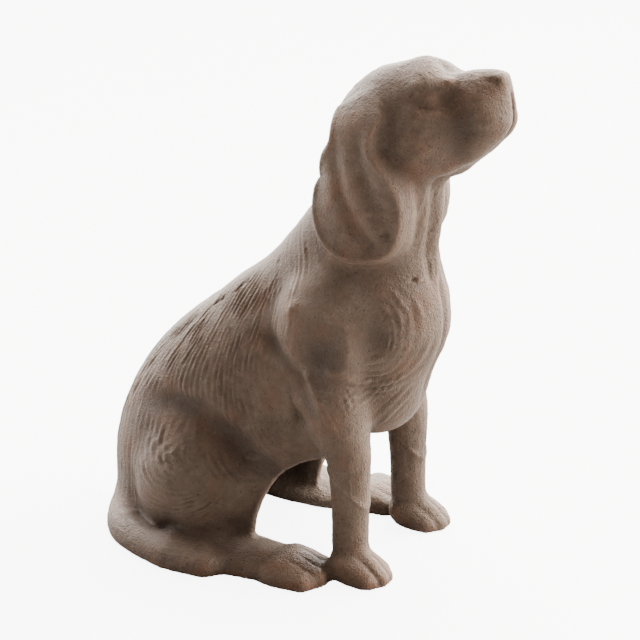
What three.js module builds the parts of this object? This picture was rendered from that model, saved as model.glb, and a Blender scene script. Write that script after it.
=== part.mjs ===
// A seated long-eared dog, cast in iron in one piece.
// Millimetres, +Z up, the nose towards +X. The origin is under the middle of the figure, on the ground.
import * as THREE from 'three';

// Driving dimensions, in millimetres.
const statueHeight = 380;
const wallThickness = 7;
const gridStep = 3;
const facetCount = 9700;

// The figure is drawn at this height, so every place and radius below is a share of it.
const drawnHeight = 380;
const scale = statueHeight / drawnHeight;
const wall = wallThickness / scale;
const cell = gridStep / scale;

const clamp = (value, low, high) => Math.min(high, Math.max(low, value));
const mix = (a, b, t) => a + (b - a) * t;
const ramp = (value, from, to) => {
  const t = clamp((value - from) / (to - from), 0, 1);
  return t * t * (3 - 2 * t);
};
const bell = (value, width) => Math.exp(-(value * value) / (width * width));

// Joins and cuts that leave a fillet of about the given radius.
function join(a, b, radius) {
  const h = Math.max(radius - Math.abs(a - b), 0) / radius;
  return Math.min(a, b) - h * h * radius / 4;
}
const overlap = (a, b, radius) => -join(-a, -b, radius);
const cut = (a, b, radius) => overlap(a, -b, radius);

// An egg-shaped mass: distance from a point to an ellipsoid with its axes along X, Y and Z.
function egg(p, centre, radii) {
  const x = (p[0] - centre[0]) / radii[0];
  const y = (p[1] - centre[1]) / radii[1];
  const z = (p[2] - centre[2]) / radii[2];
  const k = Math.hypot(x, y, z);
  const slope = Math.hypot(x / radii[0], y / radii[1], z / radii[2]);
  return slope < 1e-9 ? -Math.min(...radii) : k * (k - 1) / slope;
}

// A tapered round limb between two stations [x, y, z, radius, width as a share of the radius].
function limb(p, a, b) {
  const dx = b[0] - a[0];
  const dy = b[1] - a[1];
  const dz = b[2] - a[2];
  const along = (p[0] - a[0]) * dx + (p[1] - a[1]) * dy + (p[2] - a[2]) * dz;
  const t = clamp(along / (dx * dx + dy * dy + dz * dz), 0, 1);
  const width = mix(a[4] ?? 1, b[4] ?? 1, t);
  const side = (p[1] - a[1] - dy * t) / width;
  const distance = Math.hypot(p[0] - a[0] - dx * t, side, p[2] - a[2] - dz * t) - mix(a[3], b[3], t);
  return distance * Math.min(1, width);
}

// More stations along a smooth curve through the given ones.
function smooth(stations, pieces = 4) {
  const result = [];
  for (let i = 0; i < stations.length - 1; i++) {
    const before = stations[Math.max(i - 1, 0)];
    const after = stations[Math.min(i + 2, stations.length - 1)];
    for (let j = 0; j < pieces; j++) {
      const t = j / pieces;
      result.push(stations[i].map((from, n) => {
        const to = stations[i + 1][n];
        const bend = (to - before[n]) * t * (1 - t) * (1 - t) - (after[n] - from) * t * t * (1 - t);
        return mix(from, to, t * t * (3 - 2 * t)) + bend / 2;
      }));
    }
  }
  result.push(stations[stations.length - 1]);
  return result;
}

// A limb through several stations.
function chain(p, stations) {
  let d = Infinity;
  for (let i = 0; i < stations.length - 1; i++) d = Math.min(d, limb(p, stations[i], stations[i + 1]));
  return d;
}

// Signed distance to a flat outline in the X-Z plane, drawn as a chain of discs [x, z, radius].
function outline(x, z, discs) {
  let d = Infinity;
  for (let i = 0; i < discs.length - 1; i++) {
    const [ax, az, ar] = discs[i];
    const [bx, bz, br] = discs[i + 1];
    const dx = bx - ax;
    const dz = bz - az;
    const t = clamp(((x - ax) * dx + (z - az) * dz) / (dx * dx + dz * dz), 0, 1);
    d = Math.min(d, Math.hypot(x - ax - dx * t, z - az - dz * t) - mix(ar, br, t));
  }
  return d;
}

// Distance from (u, v) to a line through points, and how far along it (0 to 1) the nearest place is.
function track(u, v, points) {
  const nearest = { distance: Infinity, along: 0 };
  const lengths = points.slice(1).map(([x, z], i) => Math.hypot(x - points[i][0], z - points[i][1]));
  const total = lengths.reduce((sum, length) => sum + length, 0);
  let done = 0;
  lengths.forEach((length, i) => {
    const [a, b] = [points[i], points[i + 1]];
    const share = clamp(((u - a[0]) * (b[0] - a[0]) + (v - a[1]) * (b[1] - a[1])) / (length * length), 0, 1);
    const distance = Math.hypot(u - mix(a[0], b[0], share), v - mix(a[1], b[1], share));
    const along = (done + share * length) / total;
    if (distance < nearest.distance) Object.assign(nearest, { distance, along });
    done += length;
  });
  return nearest;
}

// Height of a ridge (or, below zero, a groove) along a line on the side of the figure, faded at its ends.
function ridge(x, z, { line, height, width }) {
  const { distance, along } = track(x, z, line);
  return height * bell(distance, width) * ramp(along, 0, 0.18) * ramp(1 - along, 0, 0.18);
}

// Height of a rounded swelling (or, below zero, a hollow) on the side of the figure.
function mound(x, z, { at, size, height }) {
  return height * bell(Math.hypot((x - at[0]) / size[0], (z - at[1]) / size[1]), 1);
}

// A part of the figure, worked out only near its box; farther off, the distance to the box is enough.
const boxMargin = 30;
function near(p, low, high, part) {
  const away = Math.hypot(...p.map((value, axis) => Math.max(low[axis] - value, value - high[axis], 0)));
  return away > boxMargin ? away : part();
}

// The stations of the figure. Y is the distance from the middle plane, the same on both sides.
const spine = smooth([[32, 0, 186, 55, 0.88], [-6, 0, 162, 62, 0.85], [-43, 0, 135, 69, 0.84],
  [-84, 0, 97, 71.5, 0.88], [-108, 0, 62, 68, 0.93], [-116, 0, 32, 63, 0.98]]);
const neck = smooth([[25, 0, 206, 56, 0.82], [38, 0, 250, 47.5, 0.82], [48, 0, 284, 41, 0.88],
  [46, 0, 320, 40, 0.9]]);
const withers = [[9, 0, 232, 29, 0.9], [-44, 0, 176, 33, 0.9]];
const shoulder = smooth([[26, 34, 208, 20], [30, 42, 172, 22], [27, 47, 146, 21], [31, 49, 118, 18]]);
const foreleg = smooth([[31, 47, 128, 21], [41, 50, 98, 17], [43.5, 50, 60, 14], [44, 51, 26, 13.5]]);
const instep = smooth([[-82, 70, 4, 18, 1.6], [-30, 67, 2, 12.5, 2.3], [10, 71, 3, 13.5, 1.8]]);
const tail = smooth([[-164, -6, 13, 11], [-156, -40, 7, 13.5], [-141, -67, 5.5, 13.5], [-119, -83, 5, 13],
  [-84, -96, 4.5, 12], [-54, -100, 4, 8]]);
const arch = { x: 17, z: -5, length: 54, height: 88 };
const ceiling = { height: 84, fall: 0.32 };

// The rear of the casting: its outer form, and the hollow that opens under it.
function rear(q) {
  const drop = (32 + 1.18 * (q[0] + 116)) * ramp(22 - q[0], 0, 34);
  const whole = join(trunk([q[0], q[1], Math.max(q[2], drop)]), haunch(q), 10);
  const roof = q[2] - ceiling.height + ceiling.fall * Math.max(0, -20 - q[0]);
  const hollow = overlap(whole + wall, roof, 14);
  const relief = fur(q) + muscles(q);
  return { hollow, relief, shell: cut(cut(whole - relief, hollow, 3), sideArch(q), 2.5) };
}

// The trunk: ribcage, loins and rump, with the breast in front.
function trunk(q) {
  let d = join(chain(q, spine), limb(q, withers[0], withers[1]), 14);
  d = join(d, egg(q, [46, 0, 186], [45, 44, 50]), 16);
  d = join(d, egg(q, [38, 0, 135], [39, 40, 40]), 18);
  return d;
}

// The folded hind leg: the haunch and the flap of flank in front of it.
function haunch(q) {
  const thigh = egg(q, [-84, 44, 46], [54, 43, 50]);
  const flank = limb(q, [-50, 36, 66, 25], [14, 36, 106, 20]);
  return join(thigh, flank, 22);
}

// The upper foreleg, from the shoulder blade down to the elbow.
function shoulderMass(q) {
  return join(chain(q, shoulder), shoulderBlade(q), 8);
}

// The shoulder blade: a raised oval with a shallow dip in it, ending in a ridge over the elbow.
function shoulderBlade(q) {
  const blade = egg(q, [16, 40, 178], [37, 25, 45]);
  return blade + 3.5 * bell(Math.hypot(q[0] - 32, q[2] - 186), 17);
}

// Hollows and ridges of the haunch, the upper foreleg and the breast.
const haunchCrease = { height: -6, width: 9.5, line: [[-138, 98], [-120, 108], [-100, 113], [-76, 111],
  [-60, 100], [-45, 88], [-34, 81], [-22, 75]] };
const haunchSwell = { at: [-92, 88], size: [24, 12], height: 3 };
const thighDents = [
  { at: [-90, 21], size: [13.5, 9], height: -4 },
  { at: [-46, 28], size: [9.5, 9.5], height: -4 },
];
const armLines = [
  { height: 2.2, width: 4, line: [[-10, 194], [4, 207], [26, 207], [42, 195], [46, 178], [43, 162]] },
  { height: 2.6, width: 4.5, line: [[10, 160], [20, 149], [32, 133], [42, 117]] },
  { height: -3.6, width: 6.5, line: [[-28, 182], [-10, 166], [6, 152], [17, 137], [24, 118]] },
  { height: 1.6, width: 3.2, line: [[28, 163], [42, 161], [56, 148]] },
];
const armMounds = [
  { at: [3, 131], size: [10, 10], height: 6 },
  { at: [25, 173], size: [14, 18], height: -5.6 },
];
const breastDent = { at: [60, 187], size: [8.5, 12], height: -4.6 };
function muscles([x, y, z]) {
  const sum = (forms, heightOf) => forms.reduce((total, form) => total + heightOf(x, z, form), 0);
  const onThigh = ramp(y, 24, 44);
  const lowOnThigh = ramp(y, 50, 66);
  const onArm = ramp(y, 28, 44) * ramp(z, 104, 120);
  const onBreast = ramp(y, 20, 34);
  return onThigh * (ridge(x, z, haunchCrease) + mound(x, z, haunchSwell)) + lowOnThigh * sum(thighDents, mound)
    + onArm * (sum(armLines, ridge) + sum(armMounds, mound)) + onBreast * mound(x, z, breastDent);
}

// Locks of the coat, as depth of relief and distance from one lock to the next: rows of strokes on the
// flank, a swirl on the haunch, arcs round the shoulder, and a parting down the breast.
const flankLocks = { depth: 1.5, spacing: 12 };
const haunchLocks = { depth: 1.3, spacing: 12, x: -62, z: 72 };
const shoulderLocks = { depth: 0.9, spacing: 12, x: 30, z: 190 };
const breastParting = { depth: 1.5, halfWidth: 3.5 };
function fur(q) {
  const [x, y, z] = q;
  const strokes = (turns) => Math.cos(2 * Math.PI * turns);
  const onHaunch = ramp(96 - z - 0.35 * Math.abs(x + 78), -6, 6) * ramp(y, 40, 58);
  const behind = Math.min(0, x + 66);
  const along = Math.max(0, x + 66) + 62 * Math.atan2(behind, y + 14);
  const flankTurns = along / flankLocks.spacing + 0.5 * Math.sin(z / 26);
  const onFlank = (1 - onHaunch) * ramp(-8 - x, 0, 26) * ramp(z + 0.3 * (x + 150), 88, 108)
    * ramp(y, 5, 24);
  const swirl = Math.hypot(x - haunchLocks.x, z - haunchLocks.z);
  const twist = Math.atan2(z - haunchLocks.z, x - haunchLocks.x) / Math.PI;
  const onSwirl = onHaunch * ramp(-x, 24, 40) * ramp(z, 14, 30) * ramp(swirl, 8, 16);
  const around = Math.hypot(x - shoulderLocks.x, (z - shoulderLocks.z) * 0.9);
  const turn = Math.atan2(z - shoulderLocks.z, x - shoulderLocks.x);
  const onShoulder = ramp(y, 22, 40) * ramp(x + 34, 0, 16) * ramp(z, 128, 144) * ramp(around, 24, 34)
    * ramp(70 - around, 0, 14) * ramp(246 - z, 0, 18);
  const onBreast = ramp(x, 60, 74) * ramp(z, 120, 140) * ramp(232 - z, 0, 20);
  return flankLocks.depth * onFlank * strokes(flankTurns)
    + haunchLocks.depth * onSwirl * strokes(swirl / haunchLocks.spacing + twist)
    + shoulderLocks.depth * onShoulder * strokes(around / shoulderLocks.spacing + 0.3 * Math.sin(3 * turn))
    - breastParting.depth * onBreast * bell(y, breastParting.halfWidth);
}

// Lines on the face: the dip beside the muzzle, the dip before the ear, the cheek bone and the flews.
const faceLines = [
  { height: -3.2, width: 8, line: [[102, 366], [110, 352], [114, 338], [106, 318], [98, 306]] },
  { height: -1.4, width: 6.5, line: [[66, 356], [62, 338], [63, 322], [72, 303], [84, 290]] },
  { height: 1.6, width: 10, line: [[74, 338], [86, 330], [94, 318]] },
  { height: 1.2, width: 8, line: [[120, 356], [130, 348], [128, 338]] },
];

// The eye with its socket, lower lid and brow, and the nostril: places, radii and depths.
const socket = { x: 90, y: 27, z: 355, width: 10, depth: 2.6 };
const eyeCorner = { from: [97, 17, 360, 0], to: [106, 16, 350, 0], width: 7, depth: 2.4 };
const eyeball = { at: [88.5, 19, 356.5], radii: [7.4, 7.2, 7.8] };
const lowerLid = { from: [79, 26.6, 351.5, 2.4], to: [95, 24.4, 347.4, 2.4] };
const brow = { from: [80, 23, 364.5, 3.6], to: [98, 12.4, 367.2, 3] };
const nostril = { from: [123, 12, 373, 0], to: [131, 10, 370, 0], width: 2.4, depth: 1.5 };
const philtrum = { depth: 2, width: 1.8 };
const lips = { depth: 2.4, width: 7 };
const throatFold = { height: 3.2, width: 5.5, grooveDepth: 1.6, grooveWidth: 3.5, grooveAt: 10 };
const foreheadFurrow = { depth: 1.6, width: 5 };

// The face: eyes under the brow, nostrils, the edge of the lips, the groove under the nose, the fold of
// skin down the throat and the furrow of the forehead.
function carveFace(q, skin) {
  const [x, y, z] = q;
  const groove = ({ from, to, width, depth }) => depth * bell(limb(q, from, to), width);
  let d = skin + groove(eyeCorner);
  d += socket.depth * bell(Math.hypot(x - socket.x, z - socket.z, (y - socket.y) * 0.6), socket.width);
  const onSide = ramp(y, 8, 18);
  for (const line of faceLines) d -= onSide * ridge(x, z, line);
  d = join(d, egg(q, eyeball.at, eyeball.radii), 2.5);
  d = join(d, limb(q, lowerLid.from, lowerLid.to), 2.5);
  d = join(d, limb(q, brow.from, brow.to), 5) + groove(nostril);
  d += philtrum.depth * bell(y, philtrum.width) * ramp(x, 126, 132) * ramp(364 - z, 0, 4);
  d += lips.depth * bell(y, lips.width) * ramp(x, 102, 128) * ramp(338 + 0.75 * (x - 144) - z, -8, 4);
  const fold = throatFold.height * bell(y, throatFold.width)
    - throatFold.grooveDepth * bell(y - throatFold.grooveAt, throatFold.grooveWidth);
  d -= fold * ramp(x, 58, 74) * ramp(z, 206, 226) * ramp(322 - z, 0, 24);
  const furrow = ramp(374 - z, -8, -1) * ramp(x, 40, 60) * ramp(106 - x, 0, 16);
  return d + foreheadFurrow.depth * furrow * bell(y, foreheadFurrow.width);
}

// The arches between the thighs and the forelegs, cut straight across the figure.
function sideArch(p) {
  const x = (p[0] - arch.x) / arch.length;
  const z = (p[2] - arch.z) / arch.height;
  const k = Math.hypot(x, z);
  return (k - 1) * Math.min(arch.length, arch.height);
}

function hindFoot(q) {
  const d = chain(q, instep);
  return join(d, toes(q, { x: 14, y: 72, spread: 24, length: 24, height: 16, radius: 9 }), 5);
}

// Four toes side by side, with the two middle ones ahead.
function toes(q, paw) {
  let d = Infinity;
  for (let i = 0; i < 4; i++) {
    const across = (i - 1.5) / 1.5;
    const reach = paw.length * (1 - 0.28 * across * across);
    const y = paw.y + across * (paw.spread - paw.radius);
    const back = [paw.x - paw.length * 0.5, y, paw.height - paw.radius * 1.2, paw.radius * 1.2];
    const front = [paw.x + reach - paw.radius, y + across, paw.radius * 0.3, paw.radius];
    d = join(d, limb(q, back, front), 6);
  }
  return d;
}

function foreLeg(q) {
  const d = join(chain(q, foreleg), egg(q, [52, 53, 5], [20, 16.5, 17]), 8);
  return join(d, toes(q, { x: 54, y: 53, spread: 18.5, length: 24, height: 21, radius: 8 }), 5);
}

const jawLine = { x: 96, z: 300, slope: 0.5 };

function head(q) {
  let d = egg(q, [60, 0, 334], [42, 36, 41]);
  d = join(d, egg(q, [75, 0, 349], [26, 25, 32.2]), 8);
  d = join(d, egg(q, [82, 14, 357], [15, 14, 17]), 9);
  d = join(d, egg(q, [78, 17, 326], [27, 18, 27]), 12);
  d = join(d, limb(q, [90, 0, 332, 35.5, 0.72], [116, 0, 349, 25, 0.88]), 9);
  d = join(d, limb(q, [98, 0, 359.5, 11], [127, 0, 366.5, 10.5]), 6);
  d = join(d, limb(q, [97, 12, 320, 17.5, 0.85], [124, 8, 340, 13, 0.9]), 6);
  d = join(d, limb(q, [126, 3, 358, 9.5], [132, 5, 342.5, 8.5]), 5);
  d = join(d, limb(q, [112, 4, 322, 12], [127, 4, 336, 10]), 6);
  const under = (jawLine.z + jawLine.slope * (q[0] - jawLine.x) - q[2]) * 0.9;
  return join(overlap(d, under, 5), nose(q), 4);
}

// The nose pad: a blunt wedge with a flat top and front.
function nose([x, y, z]) {
  const top = z - 373.6 - 0.2 * (x - 128);
  const front = x - 135 + 0.2 * (z - 374);
  const side = y - 7.2 - 0.2 * (136 - x);
  const under = 352 - z + 0.25 * (x - 130);
  const back = 116 - x;
  return overlap(overlap(overlap(top, front, 2), side, 6), overlap(under, back, 4), 4);
}

// The ear lies on the head and neck as a thick flap with a rolled rim, thicker towards the front. Its sides
// spread towards the cheek, and two long flutes run down it.
const earOutline = smooth([[39, 344, 19], [37, 322, 18], [36.6, 306, 23.9], [36.8, 291, 33.1],
  [41.8, 278, 36], [54, 265, 23]]);
const earThickness = 10;
const earFront = 3;
const earRim = { height: 1.2, inset: 2.2, width: 2.4 };
const earSpread = { slope: 0.4, depth: 16 };
const earFlutes = [
  { height: 3, width: 5.5, line: [[44, 340], [45, 314], [53, 295], [62, 278], [66, 264]] },
  { height: 3.4, width: 6, line: [[24, 334], [25, 308], [31, 286], [43, 268], [56, 255]] },
];
function ear(q, under) {
  const [x, y, z] = q;
  const edge = outline(x, z, earOutline);
  const flutes = earFlutes.reduce((sum, flute) => sum + ridge(x, z, flute), 0);
  const rim = earRim.height * bell(edge + earRim.inset, earRim.width) * ramp(350 - z, 0, 30);
  const thickness = earThickness + earFront * ramp(x, 46, 70) * ramp(340 - z, 0, 30);
  const coat = under - thickness * ramp(366 - z, 0, 34) + flutes * ramp(-edge, 2, 9) - rim;
  const side = edge + earSpread.slope * clamp(coat, -earSpread.depth, 0);
  return overlap(overlap(coat, side, 2.2), 24 - y, 8);
}

function figure(p) {
  const side = Math.abs(p[1]);
  const q = [p[0], side, p[2]];
  const behind = rear(q);
  const bust = () => carveFace(q, join(chain(q, neck), head(q), 9));
  const curledTail = () => cut(chain(p, tail), behind.hollow, 2);
  let body = behind.shell;
  body = join(body, near(q, [-25, 0, 95], [60, 75, 235], () => shoulderMass(q) - behind.relief), 7);
  body = join(body, near(q, [0, 20, 0], [85, 80, 155], () => foreLeg(q)), 12);
  body = join(body, near(q, [-105, 35, 0], [45, 105, 28], () => hindFoot(q)), 6);
  const top = near(q, [-35, 0, 150], [145, 50, 385], bust);
  body = join(body, join(top, near(q, [0, 15, 236], [90, 60, 366], () => ear(q, top)), 5), 20);
  body = join(body, near(p, [-175, -115, 0], [-40, 15, 30], curledTail), 12);
  return Math.max(body, -p[2]);
}

// Points this close to the ground are laid on it.
const groundSnap = 0.3;

// Lowest and highest corner of the space that is searched for the surface, as it is drawn.
const reach = { low: [-200, -120, -cell], high: [160, 105, 392] };

// The six tetrahedra of a cube, each a walk from its lowest corner to its highest.
const walks = [[0, 1, 2], [1, 2, 0], [2, 0, 1], [0, 2, 1], [2, 1, 0], [1, 0, 2]];

// Cells on a side of the blocks that are skipped where the surface is far off.
const block = 5;

// The surface of a field on a regular grid: closed, with every vertex shared.
function surface(field, low, high, step) {
  const count = [0, 1, 2].map((axis) => Math.ceil((high[axis] - low[axis]) / step) + 1);
  const stride = [1, count[0], count[0] * count[1]];
  const values = new Float32Array(count[0] * count[1] * count[2]).fill(NaN);
  const place = (index) => [
    low[0] + (index % count[0]) * step,
    low[1] + (Math.floor(index / stride[1]) % count[1]) * step,
    low[2] + Math.floor(index / stride[2]) * step,
  ];
  const valueAt = (index) => {
    if (Number.isNaN(values[index])) {
      const value = field(place(index));
      values[index] = Math.abs(value) < 1e-4 * step ? 1e-4 * step : value;
    }
    return values[index];
  };
  const vertices = [];
  const faces = [];
  const known = new Map();
  const crossing = (a, b) => {
    const key = Math.min(a, b) * 8 + walkCode(Math.abs(b - a), stride);
    let vertex = known.get(key);
    if (vertex === undefined) {
      const from = place(a);
      const to = place(b);
      const t = valueAt(a) / (valueAt(a) - valueAt(b));
      vertex = vertices.length;
      vertices.push([0, 1, 2].map((axis) => mix(from[axis], to[axis], t)));
      known.set(key, vertex);
    }
    return vertex;
  };
  const tetrahedron = (corners) => {
    const inside = corners.filter((corner) => valueAt(corner) < 0);
    const outside = corners.filter((corner) => valueAt(corner) >= 0);
    const put = (a, b, c) => faces.push(orient(vertices, [a, b, c], place(inside[0]), place(outside[0])));
    if (inside.length === 1) {
      put(...outside.map((corner) => crossing(inside[0], corner)));
    } else if (inside.length === 3) {
      put(...inside.map((corner) => crossing(corner, outside[0])));
    } else if (inside.length === 2) {
      const [a, b, c, d] = [crossing(inside[0], outside[0]), crossing(inside[0], outside[1]),
        crossing(inside[1], outside[1]), crossing(inside[1], outside[0])];
      put(a, b, c);
      put(a, c, d);
    }
  };
  const blockReach = block * step * 1.8;
  for (let k = 0; k < count[2] - 1; k += block) {
    for (let j = 0; j < count[1] - 1; j += block) {
      for (let i = 0; i < count[0] - 1; i += block) {
        const middle = [i, j, k].map((n, axis) => low[axis] + (n + block / 2) * step);
        if (Math.abs(field(middle)) > blockReach) continue;
        eachCell([i, j, k], count, stride, (corner) => {
          for (const walk of walks) {
            const corners = [corner];
            for (const axis of walk) corners.push(corners[corners.length - 1] + stride[axis]);
            tetrahedron(corners);
          }
        });
      }
    }
  }
  return { vertices, faces };
}

// Which of the seven directions of a cube's walks an edge takes.
function walkCode(difference, stride) {
  let code = 0;
  for (let axis = 2; axis >= 0; axis--) {
    if (difference >= stride[axis]) {
      code += 1 << axis;
      difference -= stride[axis];
    }
  }
  return code;
}

function eachCell(start, count, stride, visit) {
  const end = start.map((n, axis) => Math.min(n + block, count[axis] - 1));
  for (let k = start[2]; k < end[2]; k++) {
    for (let j = start[1]; j < end[1]; j++) {
      for (let i = start[0]; i < end[0]; i++) visit(i + j * stride[1] + k * stride[2]);
    }
  }
}

const minus = (a, b) => [a[0] - b[0], a[1] - b[1], a[2] - b[2]];
const cross = (a, b) => [a[1] * b[2] - a[2] * b[1], a[2] * b[0] - a[0] * b[2], a[0] * b[1] - a[1] * b[0]];
const dot = (a, b) => a[0] * b[0] + a[1] * b[1] + a[2] * b[2];

// A face turned so that it looks from the inner point towards the outer one.
function orient(vertices, face, inner, outer) {
  const [a, b, c] = face.map((index) => vertices[index]);
  const normal = cross(minus(b, a), minus(c, a));
  return dot(normal, minus(outer, inner)) < 0 ? [face[0], face[2], face[1]] : face;
}

// Quadric of the planes round a vertex: ten sums that give the squared distance of a point to them all.
function addPlane(quadrics, vertex, normal, offset, weight) {
  const n = [...normal, offset];
  let at = vertex * 10;
  for (let i = 0; i < 4; i++) {
    for (let j = i; j < 4; j++) quadrics[at++] += weight * n[i] * n[j];
  }
}
function quadricError(s, [x, y, z]) {
  return s[0] * x * x + 2 * s[1] * x * y + 2 * s[2] * x * z + 2 * s[3] * x + s[4] * y * y + 2 * s[5] * y * z
    + 2 * s[6] * y + s[7] * z * z + 2 * s[8] * z + s[9];
}

// The point with the least error, held close to the middle of the edge where the surface is flat.
function bestPoint(s, middle, pull) {
  const [a, b, c, d, e, f] = [s[0] + pull, s[1], s[2], s[4] + pull, s[5], s[7] + pull];
  const right = [pull * middle[0] - s[3], pull * middle[1] - s[6], pull * middle[2] - s[8]];
  const minors = [d * f - e * e, c * e - b * f, b * e - c * d];
  const whole = a * minors[0] + b * minors[1] + c * minors[2];
  return [
    (right[0] * minors[0] + right[1] * minors[1] + right[2] * minors[2]) / whole,
    (right[0] * minors[1] + right[1] * (a * f - c * c) + right[2] * (b * c - a * e)) / whole,
    (right[0] * minors[2] + right[1] * (b * c - a * e) + right[2] * (a * d - b * b)) / whole,
  ];
}

// A queue that gives the cheapest edge first.
class Queue {
  constructor() {
    this.items = [];
  }

  push(item) {
    const { items } = this;
    let at = items.length;
    items.push(item);
    while (at > 0) {
      const parent = (at - 1) >> 1;
      if (items[parent].cost <= item.cost) break;
      items[at] = items[parent];
      at = parent;
    }
    items[at] = item;
  }

  pop() {
    const { items } = this;
    const first = items[0];
    const item = items.pop();
    let at = 0;
    while (items.length > 0) {
      let child = 2 * at + 1;
      if (child >= items.length) break;
      if (child + 1 < items.length && items[child + 1].cost < items[child].cost) child++;
      if (items[child].cost >= item.cost) break;
      items[at] = items[child];
      at = child;
    }
    if (items.length > 0) items[at] = item;
    return first;
  }
}

// How far a facet may turn (as a cosine) and how slender it may become, and how strongly a point is
// held to the middle of its edge.
const mostTurn = 0.25;
const leastQuality = 0.1;
const middlePull = 2e-3;

// Fewer facets: the edges that matter least are drawn together until the wanted number is left.
function simplify({ vertices, faces }, wanted) {
  const around = vertices.map(() => []);
  const quadrics = new Float64Array(vertices.length * 10);
  const changes = new Int32Array(vertices.length);
  const gone = new Uint8Array(faces.length);
  const normalOf = (a, b, c) => cross(minus(b, a), minus(c, a));
  faces.forEach((face, index) => {
    const [a, b, c] = face.map((vertex) => vertices[vertex]);
    const normal = normalOf(a, b, c);
    const size = Math.hypot(...normal);
    const unit = normal.map((value) => value / (size || 1));
    for (const vertex of face) {
      around[vertex].push(index);
      addPlane(quadrics, vertex, unit, -dot(unit, a), size);
    }
  });
  const queue = new Queue();
  const offer = (a, b) => {
    const sum = new Float64Array(10);
    for (let i = 0; i < 10; i++) sum[i] = quadrics[a * 10 + i] + quadrics[b * 10 + i];
    const middle = [0, 1, 2].map((axis) => (vertices[a][axis] + vertices[b][axis]) / 2);
    const pull = middlePull * (sum[0] + sum[4] + sum[7]) + 1e-9;
    const edge = minus(vertices[a], vertices[b]);
    const spread = dot(edge, edge);
    let point = bestPoint(sum, middle, pull);
    const shift = minus(point, middle);
    if (dot(shift, shift) > spread) point = middle;
    const cost = quadricError(sum, point) + pull * spread;
    queue.push({ cost, a, b, point, seen: changes[a] + changes[b] });
  };
  const neighbours = (vertex) => {
    const found = new Set();
    for (const index of around[vertex]) for (const other of faces[index]) found.add(other);
    found.delete(vertex);
    return found;
  };
  const shape = (corners) => {
    const normal = normalOf(...corners);
    const size = Math.hypot(...normal);
    const sides = corners.map((corner, i) => Math.hypot(...minus(corner, corners[(i + 1) % 3])));
    return { normal, size, quality: size / (Math.max(...sides) ** 2 + 1e-12) };
  };
  const staysGood = (vertex, other, point) => around[vertex].every((index) => {
    const face = faces[index];
    if (face.includes(other)) return true;
    const before = shape(face.map((v) => vertices[v]));
    const after = shape(face.map((v) => (v === vertex ? point : vertices[v])));
    const turned = dot(before.normal, after.normal) < mostTurn * after.size * before.size;
    return !turned && after.quality > Math.min(leastQuality, before.quality * 0.5);
  });
  faces.forEach(([a, b, c]) => {
    if (a < b) offer(a, b);
    if (b < c) offer(b, c);
    if (c < a) offer(c, a);
  });
  let left = faces.length;
  while (left > wanted && queue.items.length > 0) {
    const { a, b, point, seen } = queue.pop();
    if (seen !== changes[a] + changes[b] || around[a].length === 0 || around[b].length === 0) continue;
    const shared = around[a].filter((index) => faces[index].includes(b));
    if (shared.length !== 2) continue;
    const beside = neighbours(a);
    const common = [...neighbours(b)].filter((vertex) => beside.has(vertex));
    if (common.length !== 2 || !staysGood(a, b, point) || !staysGood(b, a, point)) continue;
    vertices[a] = point;
    for (const index of shared) {
      gone[index] = 1;
      for (const vertex of faces[index]) around[vertex] = around[vertex].filter((other) => other !== index);
    }
    for (const index of around[b]) {
      faces[index] = faces[index].map((vertex) => (vertex === b ? a : vertex));
      around[a].push(index);
    }
    around[b] = [];
    for (let i = 0; i < 10; i++) quadrics[a * 10 + i] += quadrics[b * 10 + i];
    changes[a] += changes[b] + 1;
    left -= 2;
    for (const vertex of neighbours(a)) offer(a, vertex);
  }
  return { vertices, faces: faces.filter((face, index) => !gone[index]) };
}

// The finished casting, at its real size and centred over the origin.
function casting() {
  const fine = surface(figure, reach.low, reach.high, cell);
  const { vertices, faces } = simplify(fine, facetCount);
  const geometry = new THREE.BufferGeometry();
  const used = [...new Set(faces.flat())];
  const places = new Map(used.map((vertex, index) => [vertex, index]));
  const points = used.flatMap((vertex) => [vertices[vertex][0] * scale, vertices[vertex][1] * scale,
    vertices[vertex][2] < groundSnap ? 0 : vertices[vertex][2] * scale]);
  geometry.setAttribute('position', new THREE.Float32BufferAttribute(points, 3));
  geometry.setIndex(faces.flat().map((vertex) => places.get(vertex)));
  geometry.computeBoundingBox();
  const { min, max } = geometry.boundingBox;
  geometry.translate(-(min.x + max.x) / 2, -(min.y + max.y) / 2, 0);
  geometry.computeVertexNormals();
  return geometry;
}

const iron = new THREE.MeshStandardMaterial({ color: 0x5a4a3d, roughness: 0.72, metalness: 0.35 });
const dog = new THREE.Mesh(casting(), iron);
dog.name = 'dog_casting';

const group = new THREE.Group();
group.add(dog);
export default group;
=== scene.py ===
"""A seated long-eared dog, sand cast in iron in one piece.

Shapes are worked out in millimetres in the figure's own frame: the nose towards +X, the middle plane at
y = 0, the ground at z = 0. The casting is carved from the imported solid: it is laid on the figure's smooth
form, and then the coat, the face and the marks of the foundry are cut into it.
"""

import math

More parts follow.
